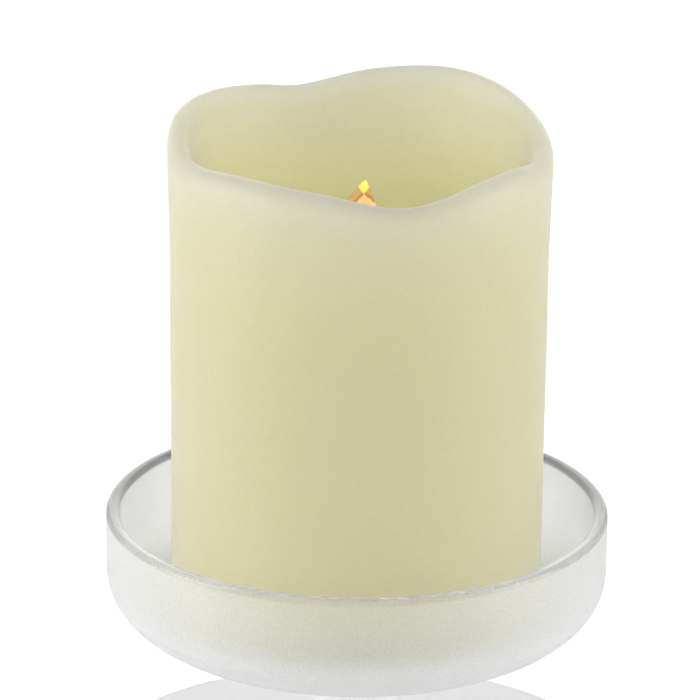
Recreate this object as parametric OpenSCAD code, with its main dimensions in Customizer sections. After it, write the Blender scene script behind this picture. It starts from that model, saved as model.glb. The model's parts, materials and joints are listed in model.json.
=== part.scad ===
// Pedestal dish of frosted glass with a flameless wax pillar candle standing in it.
// Millimetres, +Z up. The origin is the centre of the foot's underside, and -Y is the front.

/* [Glass dish] */
// Outer diameter of the dish
dish_d = 102.8; // [98:0.5:112]
// Depth of the dish outside, from its underside to its rim
dish_h = 25; // [22:0.1:32]
// Thickness of the dish wall
dish_wall = 2.8; // [2:0.1:3.6]
// Thickness of the dish floor
dish_floor_t = 4; // [2.8:0.1:5]
// How far the round bottom corner reaches in from the wall
dish_corner_w = 14.5; // [10:0.1:15]
// Height of the round bottom corner outside
dish_corner_h = 12.2; // [8:0.1:14]
// Height of the round bottom corner inside
dish_inner_corner_h = 8.5; // [5:0.1:12]
// Rounding of the polished rim
dish_rim_round = 1.2; // [0.4:0.1:1.3]
// Width of the raised ring under the dish
dish_ring_w = 3.7; // [2:0.1:8]
// Depth of the recess inside that ring
dish_recess_h = 0.8; // [0.3:0.1:1.5]

/* [Glass stem] */
// Height of the stem from the foot to the dish
stem_h = 32.3; // [20:0.1:60]
// Diameter of the stem where it joins the dish
stem_top_d = 40; // [26:0.5:50]
// Diameter of the stem at its waist
stem_waist_d = 17; // [12:0.5:24]
// Diameter of the stem where it joins the foot
stem_bottom_d = 32; // [25:0.5:44]

/* [Glass foot] */
// Outer diameter of the foot
foot_d = 120; // [100:1:140]
// Height of the foot at its edge
foot_edge_h = 3.6; // [3:0.1:6]
// Height of the foot under the stem
foot_boss_h = 9; // [7:0.1:14]
// Rounding of the foot's edge
foot_edge_round = 1.4; // [0.5:0.1:1.4]
// Diameter of the shallow hollow under the foot
foot_hollow_d = 90; // [60:1:94]
// Depth of the shallow hollow under the foot
foot_hollow_h = 1.2; // [0.5:0.1:2]

/* [Wax candle] */
// Outer diameter of the wax pillar
candle_d = 76.2; // [74:0.1:80]
// Height of the candle from its base to the highest point of its rim
candle_h = 105.5; // [98:0.1:120]
// Height of the wave in the rim, from its lowest dip to its highest crest
rim_wave_h = 10.5; // [0:0.1:12]
// Thickness of the wax wall at the rim
rim_t = 5.2; // [4:0.1:7]
// How far the wax flares out at the rim
rim_flare = 0.4; // [0:0.1:0.8]
// Height of that flare below the rim's lowest dip
rim_flare_h = 20; // [10:0.5:25]
// Depth of the rim's rounding
rim_round_h = 2.6; // [1.5:0.1:3.5]
// How much the crater narrows from the rim to its floor
crater_taper = 1.7; // [0.5:0.1:3]
// Rounding between the crater's wall and floor
crater_fillet = 6; // [3:0.1:8]
// Thickness of the wax under the crater
wax_floor_t = 8; // [5:0.1:12]
// Height of the wax above the candle's resting plane
wax_lift = 0.6; // [0.3:0.1:1]
// Bevel of the wax at its bottom edge
wax_bevel = 1; // [0.5:0.1:1.8]

/* [Flame lens] */
// Widest diameter of the flame
flame_d = 11.2; // [10.6:0.1:12]
// Height of the flame above the crater's floor
flame_h = 20.3; // [15:0.1:24]
// How far the flame's tip leans to +X
flame_lean = 1.1; // [0:0.1:2]
// Diameter of the lens neck in the wax
lens_neck_d = 10.8; // [9:0.1:10.8]
// Diameter of the flange that holds the lens under its cap
lens_flange_d = 13.6; // [12:0.1:13.8]
// Thickness of that flange
lens_flange_t = 1.2; // [0.8:0.1:1.6]

/* [Battery cells] */
// Diameter of an AAA cell
cell_d = 10.5; // [10.2:0.1:10.8]
// Height of an AAA cell with its nub
cell_h = 44.5; // [43:0.1:46]
// Distance of the cells from the candle's axis
cell_place_r = 7.5; // [7.2:0.1:7.8]
// Clearance round a cell in its well
cell_gap = 0.25; // [0.15:0.05:0.35]
// Height of a contact spring with the cells in
spring_h = 3.6; // [3:0.1:6]

/* [Battery tower] */
// Outer diameter of the tower that holds the cells
tower_d = 28.6; // [28.2:0.1:29.6]
// Thickness of the tower's foot plate
tower_foot_t = 1.6; // [1.4:0.1:2.4]
// Thickness of the plate that closes the wells at the top
tower_top_t = 1.6; // [1:0.1:2.5]
// Clearance between the tower and the wax round it
tower_gap = 0.7; // [0.4:0.1:1]

/* [Circuit board] */
// Diameter of the circuit board
board_d = 24.4; // [24.2:0.1:24.6]
// Thickness of the circuit board
board_t = 1.2; // [0.8:0.1:1.6]
// Height of the posts under the circuit board
board_post_h = 1.5; // [1.2:0.1:2.5]
// Diameter of the lamp's body
lamp_d = 5; // [4.6:0.1:5.2]
// Height of the lamp with its dome
lamp_h = 8.6; // [7:0.1:9]

/* [Base plate] */
// Diameter of the plastic base plate
base_d = 66; // [63:0.1:68]
// Thickness of the base plate
base_t = 1.6; // [1.4:0.1:2.2]
// Diameter of the battery cover
cover_d = 32; // [31.6:0.1:32.6]
// Thickness of the battery cover
cover_t = 1.6; // [1.4:0.1:2]
// Height of the cover above the candle's resting plane
cover_lift = 0.3; // [0.2:0.05:0.5]
// Turn that frees the battery cover, in degrees
cover_turn = 30; // [24:1:32]

/* [Slide switch] */
// Length of the switch body
switch_l = 8.6; // [8:0.1:10]
// Width of the switch body
switch_w = 4.4; // [4:0.1:5]
// Height of the switch body
switch_h = 4.5; // [3.5:0.1:4.7]
// Travel of the switch knob
switch_travel = 3; // [2:0.1:3.4]
// Distance of the switch from the candle's axis
switch_place_r = 24; // [23.8:0.1:24.6]

/* [Hidden] */

// One overrun serves every cut
over = 0.5;
// Smooth circles
$fn = 96;

// Steps round the wax, and in each of its rounded corners
wax_steps = 72;
corner_steps = 5;
glass_steps = 10;

// Heights in the holder
stem_z = foot_boss_h;
dish_z = stem_z + stem_h - dish_recess_h;
candle_z = dish_z + dish_floor_t;

// Radii of the dish
dish_r = dish_d / 2;
dish_inner_r = dish_r - dish_wall;
seat_gap = 0.5;
dish_flat_r = candle_d / 2 + seat_gap;
foot_boss_margin = 2;

// Heights in the candle, above its resting plane
lug_gap = 0.2;
lug_t = 1.2;
lug_z = base_t + lug_gap;
cover_ring_rise = 0.4;
cover_ring_z = lug_z + lug_t + cover_ring_rise;
disc_gap = 0.2;
disc_z = cover_ring_z + disc_gap;
disc_t = 1.4;
tower_z = disc_z + disc_t;
contact_t = 0.4;
strip_recess_h = 0.5;
cell_foot_z = tower_z + contact_t;
cell_top_z = cell_foot_z + spring_h + cell_h;
tower_plate_z = cell_top_z + contact_t;
tower_top_z = tower_plate_z + tower_top_t;
board_z = tower_top_z + board_post_h;
board_top_z = board_z + board_t;
lens_rise = 0.9;
lens_z = board_top_z + lens_rise;
cap_plate_z = lens_z + lens_flange_t;
cap_t = 1.2;
cap_top_z = cap_plate_z + cap_t;
cap_gap = 0.5;
cavity_top_z = cap_top_z + cap_gap;
crater_z = cavity_top_z + wax_floor_t;

// The wave in the rim: angle from the front towards +X, and share of the wave's height
rim_wave_shares = [[12, 0], [26, 0.09], [40, 0.28], [56, 0.34], [72, 0.24], [90, 0.41],
                   [111, 0.67], [130, 0.9], [150, 1], [176, 0.84], [200, 0.56], [216, 0.67],
                   [236, 0.78], [262, 0.75], [288, 0.27], [320, 0.35], [348, 0.25]];
// Place of the rim's top line, as a share of the wall from the outside
rim_crest_share = 0.42;

// Flame: where it is widest, how full it is, and where its lean ends, as shares of its height
flame_belly_share = 0.8;
flame_fullness = 0.75;
flame_lean_share = 0.28;
flame_levels = 14;
flame_sides = 24;
lens_gap = 0.3;
lens_lift = 0.3;
lens_pocket_gap = 0.6;

// Wells in the tower and the valleys between them, in degrees from +X
well_angles = [90, 210, 330];
valley_angles = [30, 150, 270];
wire_angle = valley_angles[0];
well_r = cell_d / 2 + cell_gap;
tower_r = tower_d / 2;
tower_core_r = 1.6;
groove_w = 2.2;
groove_place_r = 10.6;
tower_foot_margin = 1.5;
tower_foot_r = tower_r + tower_foot_margin;
strip_recess_margin = 1.2;
strip_w = 2.2;
pad_gap = 0.9;
pad_r = well_r - pad_gap;
contact_pin_r = 0.4;
pin_hole_r = 0.6;

// Battery cell
nub_r = 1.9;
nub_h = 0.8;
cell_round = 0.6;
cell_rim_w = 1.4;
cell_dimple_h = 0.2;

// Contact springs
spring_wire_r = 0.3;
spring_turns = 3;
spring_narrowing = 1.4;
spring_rings = 16;
spring_sides = 6;

// Screws: tower to base plate, and board to tower
ear_place_r = 20.4;
ear_r = 2.4;
ear_hole_r = 1.1;
screw_r = 0.9;
screw_pilot_r = 0.95;
screw_head_r = 1.9;
screw_head_h = 1.2;
screw_tip_z = 2.2;
screw_slot_w = 0.5;
screw_slot_h = 0.5;
board_screw_place_r = 8.6;
board_screw_r = 0.6;
board_screw_pilot_r = 0.65;
board_screw_head_r = 1.4;
board_screw_head_h = 0.7;
board_screw_tip_gap = 0.2;
board_screw_depth = board_t + board_post_h - board_screw_tip_gap;
board_post_r = 1.6;

// Circuit board and what is soldered to it
lead_spacing = 2.54;
lead_w = 0.5;
lead_hole_r = 0.45;
lead_stub_h = 1;
lamp_lift = 0.3;
lamp_rim = 0.4;
lamp_rim_h = 1;
chip_size = [3.9, 4.9, 1.45];
chip_place_r = 9.15;
capacitor_size = [1.6, 3.2, 1.3];
capacitor_place_r = 9.6;
resistor_size = [1.25, 2, 0.5];
resistor_place_r = 9.6;
resistor_angles = [58, 122];
board_notch_w = 1.8;

// Cap over the board
cap_board_gap = 0.4;
cap_neck_gap = 0.4;
cap_ring_w = 1;
cap_ring_h = 1.1;
cap_ring_gap = 0.2;

// Base plate
base_hole_gap = 0.3;
base_seat_gap = 0.5;
rib_inset = 3.4;
rib_r = base_d / 2 - rib_inset;
rib_t = 1;
rib_h = 5;
rib_spread = 24;
pocket_gap = 0.4;
pocket_head_gap = 0.8;
pocket_top_z = tower_z + tower_foot_t + screw_head_h + pocket_head_gap;
boss_pilot_floor = 0.5;

// Bayonet lugs of the battery cover, spreads in degrees
lug_angles = [60, 180, 300];
lug_reach = 1.6;
lug_spread = 14;
stop_gap_turn = 1.2;
stop_spread = 2;
stop_edge_turn = 0.6;
stop_inset = 0.4;
notch_spread = lug_spread + 2 * stop_gap_turn;
stop_turn = (notch_spread + stop_spread) / 2 + stop_edge_turn;
notch_gap = 0.2;
cover_ring_inset = 0.6;
cover_ring_w = 1.4;
coin_slot_l = 15;
coin_slot_w = 2.2;
coin_slot_h = 0.7;

// Switch
knob_w = 2;
knob_l = 2.6;
knob_lift = 0.5;
knob_rise = 1.2;
knob_gap = 0.3;
knob_groove_w = 0.4;
knob_groove_h = 0.3;
switch_pin_size = [0.5, 0.9, 1.9];
switch_pin_pitch = 2.5;
switch_reach = norm([switch_place_r + switch_w / 2, switch_l / 2]);

// Wires
wire_r = 0.55;
wire_foot_inset = 0.65;
wire_gap = 0.2;
wire_z = tower_z + tower_foot_t + wire_gap + wire_r;
wire_tail_h = 0.7;
tab_place = [15.6, -switch_pin_pitch];
board_wire_place_r = groove_place_r + wire_r + wire_gap;
foot_notch_w = 2 * (switch_pin_pitch + wire_gap) + strip_w;

// Points on an elliptical arc
function arc(cx, cy, rx, ry, from, to, steps) =
    [for (i = [0:steps]) let (a = from + (to - from) * i / steps) [cx + rx * cos(a), cy + ry * sin(a)]];

// A closed outline swept round into a ring: rings of equal length, the last joined to the first
module ring_of_outlines(rings) {
    n = len(rings);
    m = len(rings[0]);
    polyhedron(
        points = [for (ring = rings) each ring],
        faces = [for (j = [0:n - 1], k = [0:m - 1], half = [0, 1])
            let (a = j * m + k, b = j * m + (k + 1) % m,
                 c = ((j + 1) % n) * m + (k + 1) % m, d = ((j + 1) % n) * m + k)
            half == 0 ? [a, c, b] : [a, d, c]]);
}

// Level rings stacked into a closed solid, with one point closing each end
module stack_of_rings(start, rings, end) {
    n = len(rings);
    m = len(rings[0]);
    last = n * m;
    polyhedron(
        points = concat([for (ring = rings) each ring], [start, end]),
        faces = concat(
            [for (k = [0:m - 1]) [last, k, (k + 1) % m]],
            [for (j = [0:n - 2], k = [0:m - 1], half = [0, 1])
                let (a = j * m + k, b = j * m + (k + 1) % m,
                     c = (j + 1) * m + (k + 1) % m, d = (j + 1) * m + k)
                half == 0 ? [a, c, b] : [a, d, c]],
            [for (k = [0:m - 1]) [last + 1, (n - 1) * m + (k + 1) % m, (n - 1) * m + k]]));
}

module in_candle() {
    translate([0, 0, candle_z]) children();
}

module around(angles, place_r) {
    for (a = angles) rotate(a) translate([place_r, 0, 0]) children();
}

// A block centred on X and Y that stands on the plane
module block(size) {
    translate([-size.x / 2, -size.y / 2, 0]) cube(size);
}

// A sector of a ring, centred on +X
module sector(inner_r, outer_r, height, spread) {
    rotate(-spread / 2) rotate_extrude(angle = spread)
        translate([inner_r, 0]) square([outer_r - inner_r, height]);
}

module tube(inner_r, outer_r, height) {
    rotate_extrude() translate([inner_r, 0]) square([outer_r - inner_r, height]);
}

module glass_dish() {
    color([0.91, 0.92, 0.92, 0.6]) translate([0, 0, dish_z]) rotate_extrude() polygon(concat(
        [[0, dish_recess_h], [dish_r - dish_corner_w - dish_ring_w, dish_recess_h],
         [dish_r - dish_corner_w - dish_ring_w, 0]],
        arc(dish_r - dish_corner_w, dish_corner_h, dish_corner_w, dish_corner_h, -90, 0, glass_steps),
        arc(dish_r - dish_rim_round, dish_h - dish_rim_round,
            dish_rim_round, dish_rim_round, 0, 90, corner_steps),
        arc(dish_inner_r + dish_rim_round, dish_h - dish_rim_round,
            dish_rim_round, dish_rim_round, 90, 180, corner_steps),
        arc(dish_flat_r, dish_floor_t + dish_inner_corner_h,
            dish_inner_r - dish_flat_r, dish_inner_corner_h, 0, -90, glass_steps),
        [[0, dish_floor_t]]));
}

// The stem narrows to its waist by a smooth curve and flares again
module glass_stem() {
    waist_r = stem_waist_d / 2;
    function flare(t) = let (end_r = (t < 0.5 ? stem_bottom_d : stem_top_d) / 2)
        waist_r + (end_r - waist_r) * pow(abs(2 * t - 1), 3);
    color([0.91, 0.92, 0.92, 0.6]) translate([0, 0, stem_z]) rotate_extrude() polygon(concat(
        [[0, 0]],
        [for (i = [0:2 * glass_steps]) let (t = i / (2 * glass_steps)) [flare(t), stem_h * t]],
        [[0, stem_h]]));
}

module glass_foot() {
    foot_r = foot_d / 2;
    color([0.91, 0.92, 0.92, 0.6]) rotate_extrude() polygon(concat(
        [for (i = [0:glass_steps]) let (t = i / glass_steps)
            [foot_hollow_d / 2 * t, foot_hollow_h * (1 - t * t)]],
        arc(foot_r - foot_edge_round, foot_edge_round,
            foot_edge_round, foot_edge_round, -90, 0, corner_steps),
        arc(foot_r - foot_edge_round, foot_edge_h - foot_edge_round,
            foot_edge_round, foot_edge_round, 0, 90, corner_steps),
        [[stem_bottom_d / 2 + foot_boss_margin, foot_boss_h], [0, foot_boss_h]]));
}

// Height of the rim at an angle from the front, on a smooth curve through the table's points
function wave_point(k) = let (n = len(rim_wave_shares), turn = floor(k / n))
    [rim_wave_shares[k - turn * n][0] + 360 * turn, rim_wave_shares[k - turn * n][1]];
function wave_index(a, k) = a < wave_point(k + 1)[0] ? k : wave_index(a, k + 1);
function wave_slope(k) = (wave_point(k + 1)[1] - wave_point(k - 1)[1])
    / (wave_point(k + 1)[0] - wave_point(k - 1)[0]);
function wave(a) = let (k = wave_index(a, -1), p = wave_point(k), q = wave_point(k + 1),
        span = q[0] - p[0], t = (a - p[0]) / span)
    (1 + 2 * t) * pow(1 - t, 2) * p[1] + t * pow(1 - t, 2) * span * wave_slope(k)
        + t * t * (3 - 2 * t) * q[1] + t * t * (t - 1) * span * wave_slope(k + 1);
function rim_z(a) = candle_h - rim_wave_h * (1 - wave(a));

// Outline of the wax on one side of the axis: outside, rim, crater, flame hole and cavity
function wax_outline(rim_h) = let (wax_r = candle_d / 2, rim_r = wax_r + rim_flare,
        crest_w = rim_t * rim_crest_share, flare_z = candle_h - rim_wave_h - rim_flare_h,
        crater_r = wax_r - rim_t - crater_taper,
        hole_r = max(lens_neck_d, flame_d) / 2 + lens_gap,
        bore_r = tower_r + tower_gap, pocket_r = max(rib_r, switch_reach) + pocket_gap,
        recess_r = base_d / 2 + base_seat_gap) concat(
    [[recess_r, wax_lift], [wax_r - wax_bevel, wax_lift], [wax_r, wax_lift + wax_bevel],
     [wax_r, flare_z]],
    arc(rim_r - crest_w, rim_h - rim_round_h, crest_w, rim_round_h, 0, 90, corner_steps),
    [for (p = arc(rim_r - crest_w, rim_h - rim_round_h,
                  rim_t - crest_w, rim_round_h, 90, 180, corner_steps)) if (p.y < rim_h) p],
    arc(crater_r - crater_fillet, crater_z + crater_fillet,
        crater_fillet, crater_fillet, 0, -90, corner_steps),
    [[hole_r, crater_z], [hole_r, cavity_top_z], [bore_r, cavity_top_z], [bore_r, pocket_top_z],
     [pocket_r, pocket_top_z], [pocket_r, base_t], [recess_r, base_t]]);

module wax_pillar() {
    color([0.84, 0.82, 0.65]) in_candle() ring_of_outlines(
        [for (i = [0:wax_steps - 1]) let (a = 360 * i / wax_steps)
            [for (p = wax_outline(rim_z(a))) [p[0] * sin(a), -p[0] * cos(a), p[1]]]]);
}

// Radius of the flame below its tip, and how far it leans there
function flame_r(t) = flame_d / 2 * pow(1 - pow(1 - min(t / flame_belly_share, 1), 2), flame_fullness)
    - (flame_d - lens_neck_d) / 2 * pow(max(t - flame_belly_share, 0) / (1 - flame_belly_share), 2);
function flame_shift(t) = flame_lean * pow(max(1 - t / flame_lean_share, 0), 1.5);
function level_ring(ring_r, ring_z, shift = 0) =
    [for (k = [0:flame_sides - 1]) let (a = 360 * k / flame_sides)
        [shift + ring_r * cos(a), ring_r * sin(a), ring_z]];

module flame_lens() {
    tip_z = crater_z + flame_h;
    body_h = flame_h - lens_lift;
    pocket_r = lamp_d / 2 + lens_pocket_gap;
    pocket_top = board_top_z + lamp_lift + lamp_h + lens_pocket_gap;
    neck_r = lens_neck_d / 2;
    color([1, 0.78, 0.35, 0.8]) in_candle() stack_of_rings(
        [0, 0, pocket_top],
        concat([level_ring(pocket_r, pocket_top), level_ring(pocket_r, lens_z),
                level_ring(lens_flange_d / 2, lens_z), level_ring(lens_flange_d / 2, cap_plate_z),
                level_ring(neck_r, cap_plate_z)],
               [for (i = [flame_levels:-1:1]) let (t = pow(i / flame_levels, 1.5))
                   level_ring(flame_r(t), tip_z - body_h * t, flame_shift(t))]),
        [flame_lean, 0, tip_z]);
}

module lamp() {
    lamp_z = board_top_z + lamp_lift;
    lamp_r = lamp_d / 2;
    color([1, 0.85, 0.4]) in_candle() {
        translate([0, 0, lamp_z]) cylinder(h = lamp_rim_h, r = lamp_r + lamp_rim);
        translate([0, 0, lamp_z]) cylinder(h = lamp_h - lamp_r, r = lamp_r);
        translate([0, 0, lamp_z + lamp_h - lamp_r]) sphere(r = lamp_r);
    }
}

module lamp_leads() {
    color("silver") in_candle() for (side = [-1, 1])
        translate([side * lead_spacing / 2, 0, board_z - lead_stub_h])
            block([lead_w, lead_w, lead_stub_h + board_t + lamp_lift]);
}

module lens_cap() {
    outer_r = tower_r;
    inner_r = board_d / 2 + cap_board_gap;
    color([0.93, 0.92, 0.88]) in_candle() {
        translate([0, 0, tower_top_z]) tube(inner_r, outer_r, cap_top_z - tower_top_z);
        translate([0, 0, cap_plate_z]) tube(lens_neck_d / 2 + cap_neck_gap, outer_r, cap_t);
    }
}

module board_wire_notch(height) {
    translate([board_wire_place_r - wire_r - wire_gap, -board_notch_w / 2, 0])
        cube([board_d, board_notch_w, height]);
}

module circuit_board() {
    color([0.12, 0.4, 0.2]) in_candle() translate([0, 0, board_z]) difference() {
        cylinder(h = board_t, r = board_d / 2);
        translate([0, 0, -over]) {
            for (side = [-1, 1]) translate([side * lead_spacing / 2, 0, 0])
                cylinder(h = board_t + 2 * over, r = lead_hole_r);
            around(well_angles, cell_place_r) cylinder(h = board_t + 2 * over, r = pin_hole_r);
            around(valley_angles, board_screw_place_r)
                cylinder(h = board_t + 2 * over, r = board_screw_pilot_r);
            rotate(wire_angle) board_wire_notch(board_t + 2 * over);
        }
    }
}

module flicker_chip() {
    color([0.12, 0.12, 0.13]) in_candle() translate([-chip_place_r, 0, board_top_z]) block(chip_size);
}

module resistors() {
    color([0.15, 0.15, 0.17]) in_candle() translate([0, 0, board_top_z])
        around(resistor_angles, resistor_place_r) block(resistor_size);
}

module capacitor() {
    color([0.72, 0.6, 0.42]) in_candle() translate([capacitor_place_r, 0, board_top_z])
        block(capacitor_size);
}

// A slotted pan-head screw whose head stands on the plane
module screw(shank_r, shank_l, head_r, head_h) {
    translate([0, 0, -shank_l]) cylinder(h = shank_l, r = shank_r);
    difference() {
        cylinder(h = head_h, r = head_r);
        translate([0, 0, head_h - screw_slot_h])
            block([2 * head_r + over, screw_slot_w, screw_slot_h + over]);
    }
}

module board_screws() {
    color("silver") in_candle() translate([0, 0, board_top_z])
        around(valley_angles, board_screw_place_r)
            screw(board_screw_r, board_screw_depth, board_screw_head_r, board_screw_head_h);
}

// Outlines of the tower: its round body with the valley grooves, and its foot plate
module tower_outline(outer_r) {
    difference() {
        circle(r = outer_r);
        for (a = valley_angles) rotate(a) translate([groove_place_r, -groove_w / 2])
            square([tower_d, groove_w]);
    }
}

module tower_foot_outline() {
    difference() {
        union() {
            circle(r = tower_foot_r);
            for (a = well_angles) rotate(a) {
                translate([0, -ear_r]) square([ear_place_r, 2 * ear_r]);
                translate([ear_place_r, 0]) circle(r = ear_r);
            }
        }
        around(well_angles, ear_place_r) circle(r = ear_hole_r);
        rotate(wire_angle) translate([groove_place_r, -foot_notch_w / 2])
            square([tower_d, foot_notch_w]);
    }
}

module battery_tower() {
    foot_top_z = tower_z + tower_foot_t;
    color([0.9, 0.89, 0.85]) in_candle() {
        translate([0, 0, tower_z]) linear_extrude(strip_recess_h) difference() {
            tower_foot_outline();
            circle(r = tower_r - strip_recess_margin);
        }
        translate([0, 0, tower_z + strip_recess_h])
            linear_extrude(tower_foot_t - strip_recess_h) difference() {
                tower_foot_outline();
                circle(r = tower_core_r);
                around(well_angles, cell_place_r) circle(r = well_r);
            }
        translate([0, 0, foot_top_z]) linear_extrude(tower_plate_z - foot_top_z) difference() {
            tower_outline(tower_r);
            circle(r = tower_core_r);
            around(well_angles, cell_place_r) circle(r = well_r);
        }
        translate([0, 0, tower_plate_z]) linear_extrude(tower_top_t) difference() {
            tower_outline(tower_r);
            around(well_angles, cell_place_r) circle(r = pin_hole_r);
        }
        translate([0, 0, tower_top_z]) linear_extrude(cap_ring_h) difference() {
            tower_outline(board_d / 2 + cap_board_gap - cap_ring_gap);
            circle(r = board_d / 2 - cap_ring_w);
        }
        translate([0, 0, tower_top_z]) around(valley_angles, board_screw_place_r)
            tube(board_screw_pilot_r, board_post_r, board_post_h);
    }
}

// Plates over the cells, each with a pin that is soldered into the board
module top_contacts() {
    color("gainsboro") in_candle() translate([0, 0, cell_top_z]) around(well_angles, cell_place_r) {
        cylinder(h = contact_t, r = pad_r);
        cylinder(h = board_top_z - cell_top_z + contact_t, r = contact_pin_r);
    }
}

// A conical coil from a wide turn on its plate to a narrow turn on the cell
module contact_spring() {
    wide_r = pad_r - spring_wire_r;
    steps = spring_turns * spring_rings;
    rise = spring_h - 2 * spring_wire_r;
    // A point of the wire at a step of the coil, some way out from the wire's middle
    function coil_point(i, out, up) =
        let (t = i / steps, a = 360 * spring_turns * t, r = wide_r - spring_narrowing * t + out)
        [r * cos(a), r * sin(a), spring_wire_r + rise * t + up];
    function coil_ring(i) = [for (k = [0:spring_sides - 1]) let (b = 360 * k / spring_sides)
        coil_point(i, spring_wire_r * cos(b), spring_wire_r * sin(b))];
    stack_of_rings(coil_point(0, 0, 0), [for (i = [0:steps]) coil_ring(i)], coil_point(steps, 0, 0));
}

module battery_springs() {
    color("silver") in_candle() {
        for (a = [well_angles[0], well_angles[2]]) rotate(a) translate([cell_place_r, 0, cell_foot_z])
            contact_spring();
        rotate(well_angles[1]) translate([cell_place_r, 0, cell_top_z]) mirror([0, 0, 1])
            contact_spring();
    }
}

module cell() {
    r = cell_d / 2;
    jacket_h = cell_h - nub_h;
    rotate_extrude() polygon(concat(
        [[0, cell_dimple_h], [r - cell_rim_w, cell_dimple_h], [r - cell_rim_w, 0]],
        arc(r - cell_round, cell_round, cell_round, cell_round, -90, 0, corner_steps),
        arc(r - cell_round, jacket_h - cell_round, cell_round, cell_round, 0, 90, corner_steps),
        [[nub_r, jacket_h], [nub_r, cell_h], [0, cell_h]]));
}

module upright_cell(a) {
    color([0.25, 0.33, 0.42]) in_candle() rotate(a)
        translate([cell_place_r, 0, cell_foot_z + spring_h]) cell();
}

module battery_cell_1() {
    upright_cell(well_angles[0]);
}

// The middle cell of the series stands on its nub
module battery_cell_2() {
    color([0.25, 0.33, 0.42]) in_candle() rotate(well_angles[1])
        translate([cell_place_r, 0, cell_foot_z + cell_h]) mirror([0, 0, 1]) cell();
}

module battery_cell_3() {
    upright_cell(well_angles[2]);
}

// A flat strip between two points on the plane
module strip(from, to, width, height) {
    run = to - from;
    translate([from.x, from.y, 0]) rotate(atan2(run.y, run.x)) translate([0, -width / 2, 0])
        cube([norm(run), width, height]);
}

function on_circle(a, place_r) = [place_r * cos(a), place_r * sin(a)];
function beside(a, place) = [place.x * cos(a) - place.y * sin(a), place.x * sin(a) + place.y * cos(a)];

module bottom_contacts() {
    tab = beside(wire_angle, tab_place);
    color("gainsboro") in_candle() translate([0, 0, tower_z]) {
        around([well_angles[0]], cell_place_r) cylinder(h = contact_t, r = pad_r);
        strip(on_circle(well_angles[0], cell_place_r), tab, strip_w, contact_t);
        around([well_angles[1], well_angles[2]], cell_place_r) cylinder(h = contact_t, r = pad_r);
        strip(on_circle(well_angles[1], cell_place_r), on_circle(well_angles[2], cell_place_r),
              strip_w, contact_t);
    }
}

module contact_disc() {
    color([0.9, 0.89, 0.85]) in_candle() translate([0, 0, disc_z]) difference() {
        cylinder(h = disc_t, r = tower_foot_r);
        translate([0, 0, -over]) cylinder(h = disc_t + 2 * over, r = tower_core_r);
    }
}

module tower_screws() {
    color("silver") in_candle() translate([0, 0, tower_z + tower_foot_t])
        around(well_angles, ear_place_r)
            screw(screw_r, tower_z + tower_foot_t - screw_tip_z, screw_head_r, screw_head_h);
}

module base_plate() {
    hole_r = cover_d / 2 + base_hole_gap;
    lug_r = cover_d / 2 + lug_reach;
    slot = [knob_w + 2 * knob_gap, knob_l + switch_travel + 2 * knob_gap];
    color([0.9, 0.89, 0.85]) in_candle() {
        difference() {
            union() {
                cylinder(h = base_t, r = base_d / 2);
                around(well_angles, ear_place_r) cylinder(h = tower_z, r = ear_r);
                for (a = lug_angles) rotate(a) {
                    sector(rib_r - rib_t, rib_r, base_t + rib_h, rib_spread);
                    for (turn = [stop_turn, -stop_turn - cover_turn]) rotate(turn)
                        sector(hole_r + stop_inset, lug_r, lug_z + lug_t, stop_spread);
                }
            }
            translate([0, 0, -over]) {
                cylinder(h = base_t + 2 * over, r = hole_r);
                for (a = lug_angles) rotate(a - cover_turn)
                    sector(hole_r - over, lug_r + notch_gap, base_t + 2 * over, notch_spread);
            }
            rotate(wire_angle) translate([switch_place_r, 0, -over])
                block([slot.x, slot.y, base_t + 2 * over]);
            around(well_angles, ear_place_r) translate([0, 0, boss_pilot_floor + base_t])
                cylinder(h = tower_z, r = screw_pilot_r);
        }
    }
}

module on_switch() {
    in_candle() rotate(wire_angle) translate([switch_place_r, 0, 0]) children();
}

module switch_body() {
    slot = [knob_w + 2 * knob_gap, knob_l + switch_travel + 2 * knob_gap];
    color([0.75, 0.76, 0.78]) on_switch() translate([0, 0, base_t]) difference() {
        block([switch_w, switch_l, switch_h]);
        translate([0, 0, -over]) block([slot.x, slot.y, knob_rise + knob_gap + over]);
    }
}

module switch_pins() {
    color("silver") on_switch() for (side = [-1, 0, 1])
        translate([0, side * switch_pin_pitch, base_t + switch_h]) block(switch_pin_size);
}

module switch_knob() {
    color([0.15, 0.15, 0.16]) on_switch() translate([0, -switch_travel / 2, knob_lift]) difference() {
        block([knob_w, knob_l, base_t - knob_lift + knob_rise]);
        for (side = [-1, 1]) translate([0, side * knob_groove_w, -over])
            block([knob_w + 2 * over, knob_groove_w, knob_groove_h + over]);
    }
}

// A wire along straight runs with round bends
module wire(points) {
    for (i = [0:len(points) - 2]) {
        run = points[i + 1] - points[i];
        translate(points[i]) rotate([0, acos(run.z / norm(run)), atan2(run.y, run.x)])
            cylinder(h = norm(run), r = wire_r);
        if (i > 0) translate(points[i]) sphere(r = wire_r);
    }
}

module switch_wire() {
    end_x = switch_place_r - switch_pin_size.x / 2;
    tab_x = tab_place.x - wire_foot_inset;
    color([0.1, 0.1, 0.1]) in_candle() rotate(wire_angle) wire([
        [tab_x, tab_place.y, tower_z + contact_t],
        [tab_x, tab_place.y, wire_z],
        [end_x, tab_place.y, wire_z]]);
}

module board_wire() {
    end_x = switch_place_r - switch_pin_size.x / 2;
    color([0.7, 0.1, 0.1]) in_candle() rotate(wire_angle) wire([
        [end_x, 0, wire_z],
        [board_wire_place_r, 0, wire_z],
        [board_wire_place_r, 0, board_top_z + wire_tail_h]]);
}

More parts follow.
